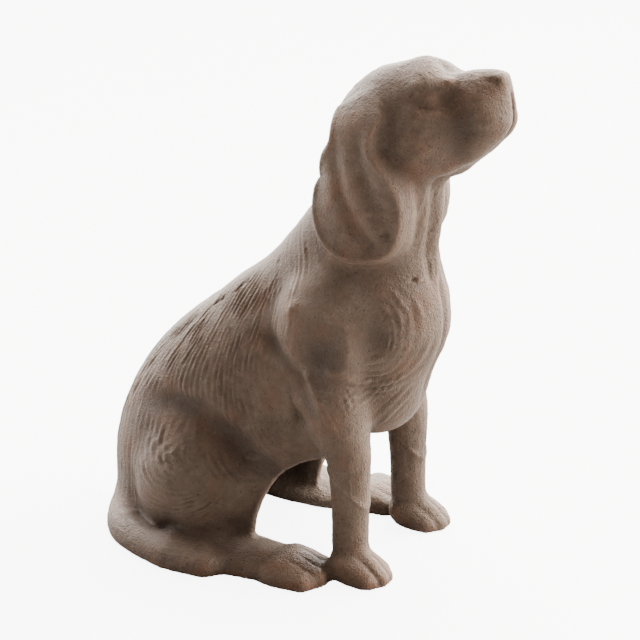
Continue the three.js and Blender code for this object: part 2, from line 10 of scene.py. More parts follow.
import bpy
import numpy as np
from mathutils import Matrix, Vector


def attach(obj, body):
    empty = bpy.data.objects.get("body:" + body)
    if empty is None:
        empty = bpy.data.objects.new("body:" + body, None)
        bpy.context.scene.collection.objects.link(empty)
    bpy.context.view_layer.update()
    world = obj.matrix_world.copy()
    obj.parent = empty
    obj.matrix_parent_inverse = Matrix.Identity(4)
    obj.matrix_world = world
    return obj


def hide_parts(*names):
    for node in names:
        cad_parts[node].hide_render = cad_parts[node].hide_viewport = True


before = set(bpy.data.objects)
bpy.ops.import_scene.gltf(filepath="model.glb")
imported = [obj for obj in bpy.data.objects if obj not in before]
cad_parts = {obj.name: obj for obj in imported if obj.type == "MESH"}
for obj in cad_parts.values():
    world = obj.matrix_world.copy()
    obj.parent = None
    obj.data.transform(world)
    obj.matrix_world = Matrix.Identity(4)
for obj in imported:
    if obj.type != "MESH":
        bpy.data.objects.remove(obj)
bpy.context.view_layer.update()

# Sizes

MM = 0.001
FIGURE_MIDDLE = np.array([-18.63, -5.43, 0.0])  # the frame's origin, in the figure's own frame
WALL = 7.0
VOXEL = 1.05
FITTING_PASSES = 4
PROBE = 0.4
MOST_STEP = 1.5
STEP_SHARE = 0.9
LEAST_STEEP = 0.2
MOST_TRIANGLES = 196000

# The camera's place and aim in the frame, and the lens for a picture of 640 by 640 pixels.
CAMERA_PLACE = (0.64659, -1.24065, 0.68303)
CAMERA_AIM = (0.00668, 0.01526, 0.170)
FOCAL_PIXELS = 2006.9
PICTURE_PIXELS = 640
SENSOR = 36.0

# Colours of the iron, and the height in metres of the sand's grain on it.
IRON_DARK = (0.054, 0.031, 0.019, 1)
IRON_LIGHT = (0.078, 0.051, 0.034, 1)
DUST = (0.125, 0.094, 0.072, 1)
WORN = (0.110, 0.078, 0.055, 1)
RUST = (0.100, 0.046, 0.024, 1)
# Dark oxide with painted shade, laid in the grooves and hollows.
PATINA_AND_SHADE = (0.022, 0.015, 0.011, 1)
PIT = (0.020, 0.014, 0.010, 1)
# Painted light: inside the shell the iron is made lighter, standing in for light that falls in under the
# body.
INSIDE_PAINTED_LIGHT = (0.17, 0.13, 0.10, 1)
SHEEN = (1.0, 0.86, 0.72, 1)
GRAIN_HEIGHT = 0.0014

# The studio: brightness of the light tent and of its opening on the near side, the lamps in watts and
# metres, and the paper.
TENT_BRIGHT = 25.0
TENT_OPENING = 0.62
TOP_POWER = 75.0
SIDE_POWER = 150.0
PAPER_SHADE = 0.40
PAPER_GLOW = 7.0
TENT_COLOUR = (1.0, 0.955, 0.90, 1)
LAMP_COLOUR = (1, 0.94, 0.87)
TENT_FACING = (0.26, -0.92, 0.28)
TOP_PLACE = (0.5, 1.0, 1.6)
SIDE_PLACE = (1.7, 1.0, 0.8)
TOP_SIZE = 1.8
SIDE_SIZE = 2.0
LAMP_AIM = (0, 0, 0.2)
FLOOR_HALF = 12.0
FLOOR_DROP = 0.0003

# Form: small tools


def mix(a, b, t):
    return a + (b - a) * t


def ramp(value, start, stop):
    t = np.clip((value - start) / (stop - start), 0.0, 1.0)
    return t * t * (3.0 - 2.0 * t)


def bell(value, width):
    return np.exp(-((value / width) ** 2))


def join(a, b, radius):
    """Two forms run together with a fillet."""
    h = np.maximum(radius - np.abs(a - b), 0.0) / radius
    return np.minimum(a, b) - h * h * radius / 4.0


def overlap(a, b, radius):
    return -join(-a, -b, radius)


def cut(a, b, radius):
    return overlap(a, -b, radius)


def egg(q, centre, radii):
    """Distance to an egg-shaped mass."""
    n = [(q[i] - centre[i]) / radii[i] for i in range(3)]
    k = np.sqrt(n[0] ** 2 + n[1] ** 2 + n[2] ** 2)
    slope = np.sqrt(sum((n[i] / radii[i]) ** 2 for i in range(3)))
    return k * (k - 1.0) / np.maximum(slope, 1e-9)


def limb(q, a, b):
    """Distance to a tapered round limb between two stations (x, y, z, radius, width)."""
    d = [b[i] - a[i] for i in range(3)]
    along = sum((q[i] - a[i]) * d[i] for i in range(3))
    t = np.clip(along / sum(c * c for c in d), 0.0, 1.0)
    width = mix(a[4] if len(a) > 4 else 1.0, b[4] if len(b) > 4 else 1.0, t)
    side = (q[1] - a[1] - d[1] * t) / width
    from_axis = np.sqrt((q[0] - a[0] - d[0] * t) ** 2 + side**2 + (q[2] - a[2] - d[2] * t) ** 2)
    return (from_axis - mix(a[3], b[3], t)) * np.minimum(1.0, width)


def smooth(stations, pieces=4):
    """More stations along a smooth curve through the given ones."""
    s = [np.array(station, float) for station in stations]
    result = []
    for i in range(len(s) - 1):
        before, start, stop, after = s[max(i - 1, 0)], s[i], s[i + 1], s[min(i + 2, len(s) - 1)]
        for j in range(pieces):
            t = j / pieces
            bend = (stop - before) * t * (1 - t) ** 2 - (after - start) * t * t * (1 - t)
            result.append(mix(start, stop, t * t * (3 - 2 * t)) + bend / 2)
    return result + [s[-1]]


def chain(q, stations):
    d = limb(q, stations[0], stations[1])
    for a, b in zip(stations[1:-1], stations[2:]):
        d = np.minimum(d, limb(q, a, b))
    return d


def near(q, low, high, form):
    """A form that is worked out only near its box; farther off, the distance to the box is enough."""
    outside = [np.maximum(np.maximum(low[i] - q[i], q[i] - high[i]), 0.0) for i in range(3)]
    d = np.sqrt(outside[0] ** 2 + outside[1] ** 2 + outside[2] ** 2)
    close = d < 30.0
    if close.any():
        d[close] = form(tuple(axis[close] for axis in q), close)
    return d


def polyline(u, v, points):
    """Distance from (u, v) to a line through points, and how far along it (0 to 1) the nearest place is."""
    best = np.full(u.shape, 1e9)
    where = np.zeros(u.shape)
    lengths = [math.dist(a, b) for a, b in zip(points[:-1], points[1:])]
    total = sum(lengths)
    done = 0.0
    for (a, b), length in zip(zip(points[:-1], points[1:]), lengths):
        t = np.clip(((u - a[0]) * (b[0] - a[0]) + (v - a[1]) * (b[1] - a[1])) / length**2, 0.0, 1.0)
        d = np.hypot(u - mix(a[0], b[0], t), v - mix(a[1], b[1], t))
        closer = d < best
        best = np.where(closer, d, best)
        where = np.where(closer, (done + t * length) / total, where)
        done += length
    return best, where


def lattice(i, j, k, seed):
    """A fixed number between -1 and 1 for each cell of a lattice."""
    h = (i * 374761393 + j * 668265263 + k * 974711 + seed * 1442695) & 0x7FFFFFFF
    h = ((h ^ (h >> 13)) * 1274126177) & 0x7FFFFFFF
    h = ((h ^ (h >> 15)) * 668265263) & 0x7FFFFFFF
    return (h & 0xFFFFF) / 524288.0 - 1.0


def noise(x, y, z, seed=0):
    """Smooth noise between -1 and 1, one lump to the unit."""
    cell = [np.floor(c).astype(np.int64) for c in (x, y, z)]
    t = [c - f for c, f in zip((x, y, z), cell)]
    t = [c * c * (3 - 2 * c) for c in t]
    value = 0.0
    for di in (0, 1):
        for dj in (0, 1):
            for dk in (0, 1):
                weight = np.ones_like(t[0])
                for axis, step in enumerate((di, dj, dk)):
                    weight = weight * (t[axis] if step else 1 - t[axis])
                value = value + weight * lattice(cell[0] + di, cell[1] + dj, cell[2] + dk, seed)
    return value


# Form: the figure

SPINE = smooth([(32, 0, 186, 55, 0.88), (-6, 0, 162, 62, 0.85), (-43, 0, 135, 69, 0.84),
                (-84, 0, 97, 71.5, 0.88), (-108, 0, 62, 68, 0.93), (-116, 0, 32, 63, 0.98)])
NECK = smooth([(25, 0, 206, 56, 0.82), (38, 0, 250, 47.5, 0.82), (48, 0, 284, 41, 0.88),
               (46, 0, 320, 40, 0.9)])
WITHERS = [(9, 0, 232, 29, 0.9), (-44, 0, 176, 33, 0.9)]
SHOULDER = smooth([(26, 34, 208, 20), (30, 42, 172, 22), (27, 47, 146, 21), (31, 49, 118, 18)])
FORELEG = smooth([(31, 47, 128, 21), (41, 50, 98, 17), (43.5, 50, 60, 14), (44, 51, 26, 13.5)])
INSTEP = smooth([(-82, 70, 4, 18, 1.6), (-30, 67, 2, 12.5, 2.3), (10, 71, 3, 13.5, 1.8)])
TAIL = smooth([(-164, -6, 13, 11), (-156, -40, 7, 13.5), (-141, -67, 5.5, 13.5), (-119, -83, 5, 13),
               (-84, -96, 4.5, 12), (-54, -100, 4, 8)])
ARCH = {"x": 17, "z": -5, "length": 54, "height": 88}
JAW_LINE = {"x": 96, "z": 300, "slope": 0.5}
CEILING = {"height": 84, "fall": 0.32}
EAR = smooth([(39, 344, 19), (37, 322, 18), (36.6, 306, 23.9), (36.8, 291, 33.1), (41.8, 278, 36),
              (54, 265, 23)])
EAR_THICKNESS = 10.0
EAR_SPREAD = 0.4
EAR_FLUTES = ([(44, 340), (45, 314), (53, 295), (62, 278), (66, 264)],
              [(24, 334), (25, 308), (31, 286), (43, 268), (56, 255)])
# Lines on the face: points (x, z), height and half width.
FACE_LINES = (
    ([(102, 366), (110, 352), (114, 338), (106, 318), (98, 306)], -3.2, 8.0),
    ([(66, 356), (62, 338), (63, 322), (72, 303), (84, 290)], -1.4, 6.5),
    ([(74, 338), (86, 330), (94, 318)], 1.6, 10.0),
    ([(120, 356), (130, 348), (128, 338)], 1.2, 8.0),
)
HAUNCH_CREASE = [(-138, 98), (-120, 108), (-100, 113), (-76, 111), (-60, 100), (-45, 88), (-34, 81),
                 (-22, 75)]
BACK_SLITS = (((-83, 182), (-72, 191)), ((-66, 193.5), (-53, 207)))
# Middles (x, z) of the whorls of hair on the thigh and the breast.
WHORL = (-68, 73)
BREAST_WHORL = (56, 190)
# Lines on the upper foreleg: points (x, z), height and half width.
ARM_LINES = (
    ([(-10, 194), (4, 207), (26, 207), (42, 195), (46, 178), (43, 162)], 2.2, 4.0),
    ([(10, 160), (20, 149), (32, 133), (42, 117)], 2.6, 4.5),
    ([(-28, 182), (-10, 166), (6, 152), (17, 137), (24, 118)], -3.6, 6.5),
    ([(28, 163), (42, 161), (56, 148)], 1.6, 3.2),
)


# Places where dark oxide and painted shade lie: middle, radii and strength.
SHADES = (
    ((112, 24, 338), (12, 16, 22), 0.9),
    ((101, 17, 356), (9, 12, 8), 0.9),
    ((66, 34, 322), (10, 16, 26), 0.7),
    ((92, 24, 364), (12, 12, 4), 0.8),
    ((86, 28, 356), (9, 12, 6), 0.7),
    ((26, 60, 170), (14, 16, 22), 1.0),
    ((60, 44, 186), (10, 16, 15), 0.9),
    ((50, 40, 232), (24, 30, 12), 0.6),
)


def trunk(q):
    d = join(chain(q, SPINE), limb(q, *WITHERS), 14)
    d = join(d, egg(q, (46, 0, 186), (45, 44, 50)), 16)
    return join(d, egg(q, (38, 0, 135), (39, 40, 40)), 18)


def haunch(q):
    thigh = egg(q, (-84, 44, 46), (54, 43, 50))
    flank = limb(q, (-50, 36, 66, 25), (14, 36, 106, 20))
    return join(thigh, flank, 22)


def side_arch(q):
    k = np.hypot((q[0] - ARCH["x"]) / ARCH["length"], (q[2] - ARCH["z"]) / ARCH["height"])
    return (k - 1) * min(ARCH["length"], ARCH["height"])


def rear(q):
    """The hollow under the trunk and haunches, and the shell round it."""
    x, y, z = q
    drop = (32 + 1.18 * (x + 116)) * ramp(22 - x, 0, 34)
    whole = join(trunk((x, y, np.maximum(z, drop))), haunch(q), 10)
    roof = z - CEILING["height"] + CEILING["fall"] * np.maximum(0, -20 - x)
    hollow = overlap(whole + WALL, roof, 14)
    return hollow, cut(cut(whole, hollow, 3), side_arch(q), 2.5)


def shoulder_mass(q):
    blade = egg(q, (16, 40, 178), (37, 25, 45)) + 3.5 * bell(np.hypot(q[0] - 32, q[2] - 186), 17)
    return join(chain(q, SHOULDER), blade, 8)


def toes(q, x, y, spread, length, height, radius):
    """Four toes side by side, with the two middle ones ahead."""
    d = np.full(q[0].shape, 1e3)
    for i in range(4):
        across = (i - 1.5) / 1.5
        reach = length * (1 - 0.28 * across * across)
        side = y + across * (spread - radius)
        back = (x - length * 0.5, side, height - radius * 1.2, radius * 1.2)
        front = (x + reach - radius, side + across, radius * 0.3, radius)
        d = join(d, limb(q, back, front), 6)
    return d


def fore_leg(q):
    d = join(chain(q, FORELEG), egg(q, (52, 53, 5), (20, 16.5, 17)), 8)
    return join(d, toes(q, 54, 53, 18.5, 24, 21, 8), 5)


def hind_foot(q):
    return join(chain(q, INSTEP), toes(q, 14, 72, 24, 24, 16, 9), 5)


def head(q):
    d = egg(q, (60, 0, 334), (42, 36, 41))
    d = join(d, egg(q, (75, 0, 349), (26, 25, 32.2)), 8)
    d = join(d, egg(q, (82, 14, 357), (15, 14, 17)), 9)
    d = join(d, egg(q, (78, 17, 326), (27, 18, 27)), 12)
    d = join(d, limb(q, (90, 0, 332, 35.5, 0.72), (116, 0, 349, 25, 0.88)), 9)
    d = join(d, limb(q, (98, 0, 359.5, 11), (127, 0, 366.5, 10.5)), 6)
    d = join(d, limb(q, (97, 12, 320, 17.5, 0.85), (124, 8, 340, 13, 0.9)), 6)
    d = join(d, limb(q, (126, 3, 358, 9.5), (132, 5, 342.5, 8.5)), 5)
    d = join(d, limb(q, (112, 4, 322, 12), (127, 4, 336, 10)), 6)
    under = (JAW_LINE["z"] + JAW_LINE["slope"] * (q[0] - JAW_LINE["x"]) - q[2]) * 0.9
    return join(overlap(d, under, 5), nose(q), 4)


def nose(q):
    """The nose pad: a blunt wedge with a flat top and front."""
    x, y, z = q
    top = z - 373.6 - 0.2 * (x - 128)
    front = x - 135 + 0.2 * (z - 374)
    side = y - 7.2 - 0.2 * (136 - x)
    under = 352 - z + 0.25 * (x - 130)
    back = 116 - x
    return overlap(overlap(overlap(top, front, 2), side, 6), overlap(under, back, 4), 4)


def carve_face(q, skin):
    """Eyes under the brow, nostrils, the edge of the lips, the groove under the nose and the throat fold."""
    x, y, z = q
    from_eye = np.sqrt((0.85 * (x - 87)) ** 2 + (z - 355.5) ** 2 + (0.6 * (y - 27)) ** 2)
    d = skin + 3.4 * bell(from_eye, 9)
    d = d + 2.4 * bell(limb(q, (97, 17, 360, 0), (106, 16, 350, 0)), 7)
    for line, height, width in FACE_LINES:
        track, along = polyline(x, z, line)
        d = d - height * bell(track, width) * ramp(along, 0, 0.2) * ramp(1 - along, 0, 0.2) * ramp(y, 8, 18)
    d = join(d, egg(q, (86.0, 20.0, 356.0), (7.6, 6.8, 7.0)), 1.5)
    d = join(d, limb(q, (77, 27.6, 351.5, 2.6), (84, 28.6, 346.2, 3.2)), 2)
    d = join(d, limb(q, (84, 28.6, 346.2, 3.2), (94, 25.0, 347.6, 2.4)), 2)
    d = join(d, limb(q, (80, 23.0, 364.5, 3.6), (98, 12.4, 367.2, 3)), 5)
    d = d + 1.5 * bell(limb(q, (123, 12, 373, 0), (131, 10, 370, 0)), 2.4)
    d = d + 2.0 * bell(y, 1.4) * ramp(x, 126, 132) * ramp(364 - z, 0, 4)
    d = d + 2.4 * bell(y, 7) * ramp(x, 102, 128) * ramp(338 + 0.75 * (x - 144) - z, -8, 4)
    front = ramp(x, 58, 74) * ramp(z, 206, 226) * ramp(322 - z, 0, 24)
    d = d - front * (3.2 * bell(y, 5.5) - 1.6 * bell(y - 10, 3.5))
    return d + 1.6 * bell(y, 5) * ramp(374 - z, -8, -1) * ramp(x, 40, 60) * ramp(106 - x, 0, 16)


def ear_edge(x, z):
    """Distance to the ear's outline, seen from the side."""
    d = np.full(x.shape, 1e9)
    for a, b in zip(EAR[:-1], EAR[1:]):
        dx, dz = b[0] - a[0], b[1] - a[1]
        t = np.clip(((x - a[0]) * dx + (z - a[1]) * dz) / (dx * dx + dz * dz), 0.0, 1.0)
        d = np.minimum(d, np.hypot(x - a[0] - dx * t, z - a[1] - dz * t) - mix(a[2], b[2], t))
    return d


def ear(q, under):
    """The ear: a thick flap with a crisp rim, sides that spread towards the cheek, and two long flutes."""
    x, y, z = q
    edge = ear_edge(x, z)
    front, along = polyline(x, z, EAR_FLUTES[0])
    flutes = 3.0 * bell(front, 5.5) * ramp(along, 0, 0.25)
    rear_flute, along = polyline(x, z, EAR_FLUTES[1])
    flutes = flutes + 3.4 * bell(rear_flute, 6) * ramp(along, 0, 0.3)
    rim = 1.2 * bell(edge + 2.2, 2.4) * ramp(350 - z, 0, 30)
    thick = EAR_THICKNESS + 3.0 * ramp(x, 46, 70) * ramp(340 - z, 0, 30)
    coat = under - thick * ramp(366 - z, 0, 34) + flutes * ramp(-edge, 2, 9) - rim
    side = edge + EAR_SPREAD * np.clip(coat, -16, 0)
    return overlap(overlap(coat, side, 2.2), 24 - y, 8)


def muscles(q):
    """Hollows and ridges of the haunch and shoulder, as height over the plain form."""
    x, y, z = q
    d, along = polyline(x, z, HAUNCH_CREASE)
    h = -6.0 * bell(d, 9.5) * (0.1 + 0.9 * ramp(along, 0.0, 0.4)) * ramp(y, 24, 44)
    h = h + 3.0 * bell(np.hypot((x + 92) / 2.0, z - 88), 12) * ramp(y, 30, 50)
    h = h - 4.0 * bell(np.hypot((x + 90) / 1.5, z - 21), 9) * ramp(y, 50, 66)
    h = h - 4.0 * bell(np.hypot(x + 46, z - 28), 9.5) * ramp(y, 50, 66)
    on_arm = ramp(y, 28, 44) * ramp(z, 104, 120)
    arm = -5.6 * bell(np.hypot((x - 25) / 14, (z - 173) / 18), 1)
    arm = arm + 6.0 * bell(np.hypot(x - 3, z - 131), 10)
    for line, height, width in ARM_LINES:
        d, along = polyline(x, z, line)
        arm = arm + height * bell(d, width) * ramp(along, 0, 0.15) * ramp(1 - along, 0, 0.15)
    h = h + arm * on_arm
    return h - 4.6 * bell(np.hypot((x - 60) / 8.5, (z - 187) / 12), 1) * ramp(y, 20, 34)


def figure(p):
    """Distance to the smooth casting, without its coat."""
    q = (p[0], np.abs(p[1]), p[2])
    hollow, body = rear(q)
    body = join(body, near(q, (-25, 0, 95), (60, 75, 235), lambda s, m: shoulder_mass(s)), 7)
    body = body - muscles(q) * ramp(hollow, 1.0, 4.5)
    body = join(body, near(q, (0, 20, 0), (85, 80, 155), lambda s, m: fore_leg(s)), 12)
    body = join(body, near(q, (-105, 35, 0), (45, 105, 28), lambda s, m: hind_foot(s)), 6)
    top = near(q, (-35, 0, 150), (145, 50, 385),
               lambda s, m: carve_face(s, join(chain(s, NECK), head(s), 9)))
    flap = near(q, (0, 15, 236), (90, 60, 366), lambda s, m: ear(s, top[m]))
    body = join(body, join(top, flap, 5), 20)
    curl = near(p, (-175, -115, 0), (-40, 15, 30), lambda s, m: cut(chain(s, TAIL), hollow[m], 2))
    body = join(body, curl, 12)
    return np.maximum(body, -p[2])


# Relief: coat and foundry marks


def strokes(across, along, spacing, length, seed):
    """Strokes of the coat: grooves a spacing apart that wander, fork and fade, from about -1 to 1."""
    sway = 0.45 * noise(across / (2.6 * spacing), along / (1.6 * length), 0 * across, seed)
    wave = np.cos(2 * np.pi * (across / spacing + sway))
    loose = noise(across / (0.52 * spacing), along / length, 0 * across, seed + 1)
    press = noise(across / (1.7 * spacing), along / (0.9 * length), 0 * across, seed + 2)
    return np.clip(0.62 + 0.7 * press, 0.0, 1.2) * (0.5 * wave + 0.75 * loose)


def flank_coat(x, y, z):
    """Long near-upright strokes on the flank, which follow the rump round."""
    behind = np.minimum(0, x + 66)
    across = np.maximum(0, x + 66) + 62 * np.arctan2(behind, y + 14)
    middle = 84 + 0.55 * (x + 150)
    bow = 0.0045 * (z - middle) * np.abs(z - middle) * np.where(z > middle, 1.0, -1.0)
    onto = ramp(z + 0.32 * (x + 150), 84, 104) * ramp(-12 - x, 0, 22) * ramp(y, 10, 32)
    crease, _ = polyline(x, z, HAUNCH_CREASE)
    onto = onto * ramp(crease, 3, 14)
    faint = 1 - 0.7 * ramp(x + 0.9 * (z - 150), -70, -20) * ramp(150 - z, 0, 20)
    return 0.8 * onto * faint * strokes(across - bow, z, 4.3, 11.0, 3)


def haunch_coat(x, y, z):
    """Strokes that circle a whorl on the thigh, and long ones down the rump."""
    dx, dz = (x - WHORL[0]) * 0.8, z - WHORL[1]
    around = np.hypot(dx, dz)
    angle = np.arctan2(dz, dx)
    upto = ramp(96 - z - 0.3 * np.abs(x + 88), -2, 8) * ramp(y, 30, 50) * ramp(z, 26, 42)
    behind = ramp(-52 - x, -18, 18)
    onto = upto * behind * ramp(around, 3, 9) * (0.45 + 0.55 * ramp(around, 12, 24))
    circling = strokes(around + 3.4 * angle + 0.5 * dx, angle * 24, 3.5, 5.0, 7)
    rump = ramp(-x, 120, 136) * ramp(108 - z, 0, 14) * ramp(z, 20, 34) * ramp(y, 3, 14)
    behind = np.minimum(0, x + 66)
    across = 62 * np.arctan2(behind, y + 14)
    down = strokes(across, z, 3.6, 15.0, 23)
    return 0.95 * onto * (1 - rump) * circling + 0.6 * rump * down


def shoulder_coat(x, y, z):
    """Strokes behind and over the shoulder blade."""
    onto = ramp(x, -44, -24) * ramp(18 - x, 0, 22) * ramp(z, 158, 184) * ramp(y, 8, 26)
    return 0.5 * onto * strokes(x + 0.0042 * (z - 196) ** 2, z, 5.2, 14.0, 11)


def breast_coat(x, y, z):
    """Arcs that circle the hollow before the shoulder and run down into the breast."""
    dx, dz = x - BREAST_WHORL[0], (z - BREAST_WHORL[1]) * 0.8
    around, angle = np.hypot(dx, dz), np.arctan2(dz, dx)
    onto = ramp(around, 8, 16) * ramp(50 - around, 0, 18) * ramp(y, 5, 16)
    onto = onto * ramp(dx + 0.3 * (BREAST_WHORL[1] - z), -4, 8) * ramp(230 - z, 0, 16)
    arcs = 0.95 * onto * strokes(around, angle * 26, 4.4, 11.0, 15)
    lower = ramp(164 - z, 0, 14) * ramp(z, 108, 122) * ramp(x, 34, 50) * ramp(y, 8, 22)
    slant = strokes(x - 0.75 * (z - 130), z, 4.6, 11.0, 18)
    parting = -1.6 * bell(y, 3.2) * ramp(x, 60, 74) * ramp(z, 116, 140) * ramp(232 - z, 0, 20)
    arm = ramp(z, 112, 126) * ramp(156 - z, 0, 16) * ramp(x, 20, 32) * ramp(y, 40, 52) * ramp(56 - x, 0, 10)
    return arcs + 0.65 * lower * slant + parting + 0.5 * arm * strokes(x + 0.5 * z, z, 4.0, 9.0, 26)


def neck_coat(x, y, z):
    """Short strokes on the nape, the throat and the front of the neck."""
    nape = ramp(26 - x, 0, 14) * ramp(z, 204, 222) * ramp(292 - z, 0, 20) * ramp(y, 4, 14)
    throat = ramp(x, 52, 66) * ramp(z, 214, 232) * ramp(300 - z, 0, 16)
    return (0.18 * nape * strokes(x + 0.55 * (z - 250), z, 4.6, 12.0, 21)
            + 0.3 * throat * strokes(y + 0.35 * x + 0.15 * z, z, 3.6, 11.0, 24))


def leg_coat(x, y, z):
    """Faint hair down the forelegs, along the tail and over the feet."""
    leg = ramp(z, 34, 50) * ramp(118 - z, 0, 20) * ramp(x, 14, 24) * ramp(y, 24, 34)
    tail = ramp(-x, 60, 80) * ramp(26 - z, 0, 6) * ramp(y, 20, 40)
    along_tail = strokes(z * 1.4, x + y, 3.6, 16.0, 30)
    return 0.3 * leg * strokes(x - y, z, 3.4, 14.0, 27) + 0.35 * tail * along_tail


def knuckles(x, y, z):
    """Soft grooves between the toes."""
    fore = sum(bell(y - side - 0.05 * (x - 60), 1.8) for side in (41.5, 52, 62.5))
    fore = fore * ramp(x, 50, 60) * ramp(25 - z, 0, 7)
    hind = sum(bell(y - side - 0.05 * (x - 20), 1.8) for side in (61, 72, 83))
    hind = hind * ramp(x, 4, 14) * ramp(19 - z, 0, 5)
    return -0.8 * fore - 0.7 * hind


def foundry_marks(p):
    """Slits on the back, a pit with a lump beside it on the breast, the flash round the arch and a lump on
    the back's middle line.
    """
    x, side, z = p
    y = np.abs(side)
    slits = 0.0
    for a, b in BACK_SLITS:
        d, along = polyline(x, z, [a, b])
        slits = slits - 1.3 * bell(d, 0.9) * ramp(along, 0, 0.2) * ramp(1 - along, 0, 0.3)
    slits = slits * ramp(-side, 10, 18) * ramp(34 + side, 0, 6)
    chest = -1.8 * bell(np.hypot(x - 79.5, z - 226), 1.5) * ramp(-side, 8, 14)
    chest = chest + 1.1 * bell(np.hypot(x - 82, z - 225), 1.6) * ramp(-side, 8, 14)
    flash = 1.2 * bell(side_arch((x, y, z)) - 1.2, 1.1) * ramp(z, 26, 36) * ramp(y, 30, 40)
    ridge_end = 2.0 * bell(np.hypot(x + 24, z - 232), 6) * ramp(14 - y, 0, 8)
    return slits + chest + flash * 0.8 + ridge_end


def sand_grain(x, y, z):
    """The lumps that the sand of the mould leaves, 2 to 5 mm across."""
    coarse = noise(x / 2.6, y / 2.6, z / 2.6, 31)
    fine = noise(x / 1.5, y / 1.5, z / 1.5, 32)
    on_head = ramp(z, 330, 352)
    return (0.10 + 0.12 * on_head) * coarse + (0.06 + 0.08 * on_head) * fine


def relief(p):
    """Height of the carved coat and the marks of the casting over the smooth form."""
    x, y, z = p[0], np.abs(p[1]), p[2]
    h = flank_coat(x, y, z) + haunch_coat(x, y, z) + shoulder_coat(x, y, z)
    h = h + breast_coat(x, y, z) + neck_coat(x, y, z) + leg_coat(x, y, z) + knuckles(x, y, z)
    return h + foundry_marks(p) + sand_grain(*p)


# The casting's mesh


def points_of(mesh):
    flat = np.empty(len(mesh.vertices) * 3, dtype=np.float32)
    mesh.vertices.foreach_get("co", flat)
    return flat.reshape(-1, 3).astype(np.float64)


def normals_of(mesh):
    mesh.update()
    flat = np.empty(len(mesh.vertices) * 3, dtype=np.float32)
    mesh.vertex_normals.foreach_get("vector", flat)
    return flat.reshape(-1, 3).astype(np.float64)


def put_points(mesh, points):
    mesh.vertices.foreach_set("co", points.astype(np.float32).ravel())
    mesh.update()


def apply_modifiers(piece):
    """The mesh that the piece's modifiers make takes the place of its own."""
    evaluated = piece.evaluated_get(bpy.context.evaluated_depsgraph_get())
    made = bpy.data.meshes.new_from_object(evaluated)
    old = piece.data
    piece.modifiers.clear()
    piece.data = made
    bpy.data.meshes.remove(old)


def in_figure(points):
    """Points of the frame in metres, as the figure's x, y and z in millimetres."""
    return tuple((points / MM + FIGURE_MIDDLE).T)


def fit_to_form(mesh):
    """Moves each point along the slope of the form until it lies on its surface."""
    points = points_of(mesh)
    for _ in range(FITTING_PASSES):
        q = in_figure(points)
        value = figure(q)
        slope = np.stack([figure(tuple(c + PROBE * (axis == i) for i, c in enumerate(q))) - value
                          for axis in range(3)], axis=1) / PROBE
        steep = np.maximum((slope**2).sum(1), LEAST_STEEP)
        step = np.clip(value / steep, -MOST_STEP, MOST_STEP)[:, None] * slope
        points = points - step * (STEP_SHARE * MM)
        points[:, 2] = np.maximum(points[:, 2], 0.0)
    put_points(mesh, points)


def from_hollow(points):
    """How far in millimetres each place lies from the hollow: about 0 on the inside of the shell."""
    q = in_figure(points)
    hollow, _ = rear((q[0], np.abs(q[1]), q[2]))
    return hollow


def carve(mesh):
    points, normals = points_of(mesh), normals_of(mesh)
    q = in_figure(points)
    outer = ramp(from_hollow(points), 2.5, 4.5)
    height = relief(q) * outer + 0.35 * (1 - outer) * noise(q[0] / 4, q[1] / 4, q[2] / 4, 41)
    height = height * ramp(points[:, 2] / MM, 0.2, 3.0)
    put_points(mesh, points + normals * (height * MM)[:, None])


def neighbour_mean(values, edges, count):
    total = np.zeros_like(values)
    for axis in range(values.shape[1]):
        total[:, axis] = (np.bincount(edges[:, 0], values[edges[:, 1], axis], len(values))
                          + np.bincount(edges[:, 1], values[edges[:, 0], axis], len(values)))
    return total / count[:, None]


def bareness(mesh):
    """How proud each place stands of its surroundings, near by and farther round, in millimetres."""
    points, normals = points_of(mesh), normals_of(mesh)
    flat = np.empty(len(mesh.edges) * 2, dtype=np.int32)
    mesh.edges.foreach_get("vertices", flat)
    edges = flat.reshape(-1, 2)
    count = np.maximum(np.bincount(edges.ravel(), minlength=len(points)), 1)
    results = []
    soft = points.copy()
    for passes in (4, 30):
        for _ in range(passes):
            soft = 0.5 * soft + 0.5 * neighbour_mean(soft, edges, count)
        results.append(((points - soft) * normals).sum(1) / MM)
    return results


def shade_of_hollows(points):
    """How deep each place lies in the hollows of the haunch, shoulder, breast and face, from 0 to 1, for the
    painted shade and dark oxide laid there.
    """
    x, y, z = in_figure(points)
    y = np.abs(y)
    depth = -muscles((x, y, z)) / 5.0
    for centre, radii, share in SHADES:
        far = np.sqrt(sum(((axis - c) / r) ** 2 for axis, c, r in zip((x, y, z), centre, radii)))
        depth = np.maximum(depth, share * bell(far, 1.0))
    return np.clip(depth, 0.0, 1.0)


def store(mesh, name, values):
    layer = mesh.attributes.new(name, "FLOAT", "POINT")
    layer.data.foreach_set("value", values.astype(np.float32))


def cast_dog():
    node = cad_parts["dog_casting"]
    dog = bpy.data.objects.new("dog_body", node.data.copy())
    bpy.context.scene.collection.objects.link(dog)
    dog.data.materials.clear()
    remesh = dog.modifiers.new("even_skin", "REMESH")
    remesh.mode = "VOXEL"
    remesh.voxel_size = VOXEL * MM
    apply_modifiers(dog)
    fit_to_form(dog.data)
    carve(dog.data)
    triangles = 2 * len(dog.data.polygons)
    fewer = dog.modifiers.new("fewer_faces", "DECIMATE")
    fewer.ratio = min(1.0, MOST_TRIANGLES / triangles)
    apply_modifiers(dog)
    mesh = dog.data
    mesh.polygons.foreach_set("use_smooth", [True] * len(mesh.polygons))
    near_by, wide = bareness(mesh)
    points = points_of(mesh)
    store(mesh, "proud", near_by)
    store(mesh, "crest", wide)
    store(mesh, "outer", ramp(from_hollow(points), 0.8, 1.8))
    # Where painted shade and dark oxide lie in the hollows and round the eye.
    store(mesh, "hollow", shade_of_hollows(points))
    return dog


# Materials


